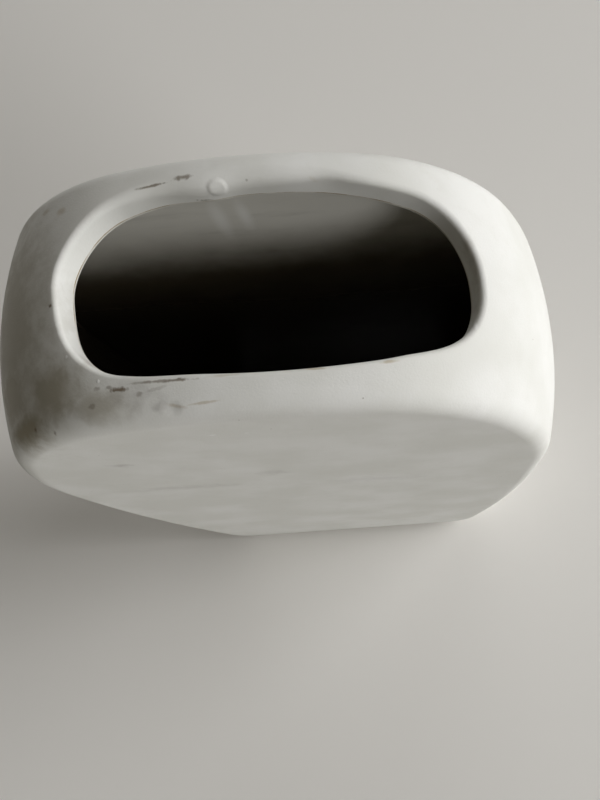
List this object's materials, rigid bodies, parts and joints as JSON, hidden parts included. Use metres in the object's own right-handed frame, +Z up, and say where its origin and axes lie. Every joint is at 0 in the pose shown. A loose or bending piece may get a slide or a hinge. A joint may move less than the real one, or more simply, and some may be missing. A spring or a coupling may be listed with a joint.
{
  "type": "pillow vase",
  "caption": "Flat-sided pillow vase with a swelling edge band, an arched crown with a rounded oblong mouth, and a glazed inside that holds water.",
  "frame": {"origin": "on the ground below the middle of the vessel, at the centre of its bounding box", "axes": "+Z up from the foot to the crown, +X to the right of the front panel, +Y from the front panel to the back panel"},
  "size_m": [0.14, 0.055, 0.1977],
  "materials": {
    "bisque_clay": "matt, unglazed, slightly soiled",
    "clear_glaze": "satin gloss over the clay"
  },
  "bodies": {
    "root": {"vessel_body": "bisque_clay", "inner_glaze": "clear_glaze"}
  },
  "joints": []
}
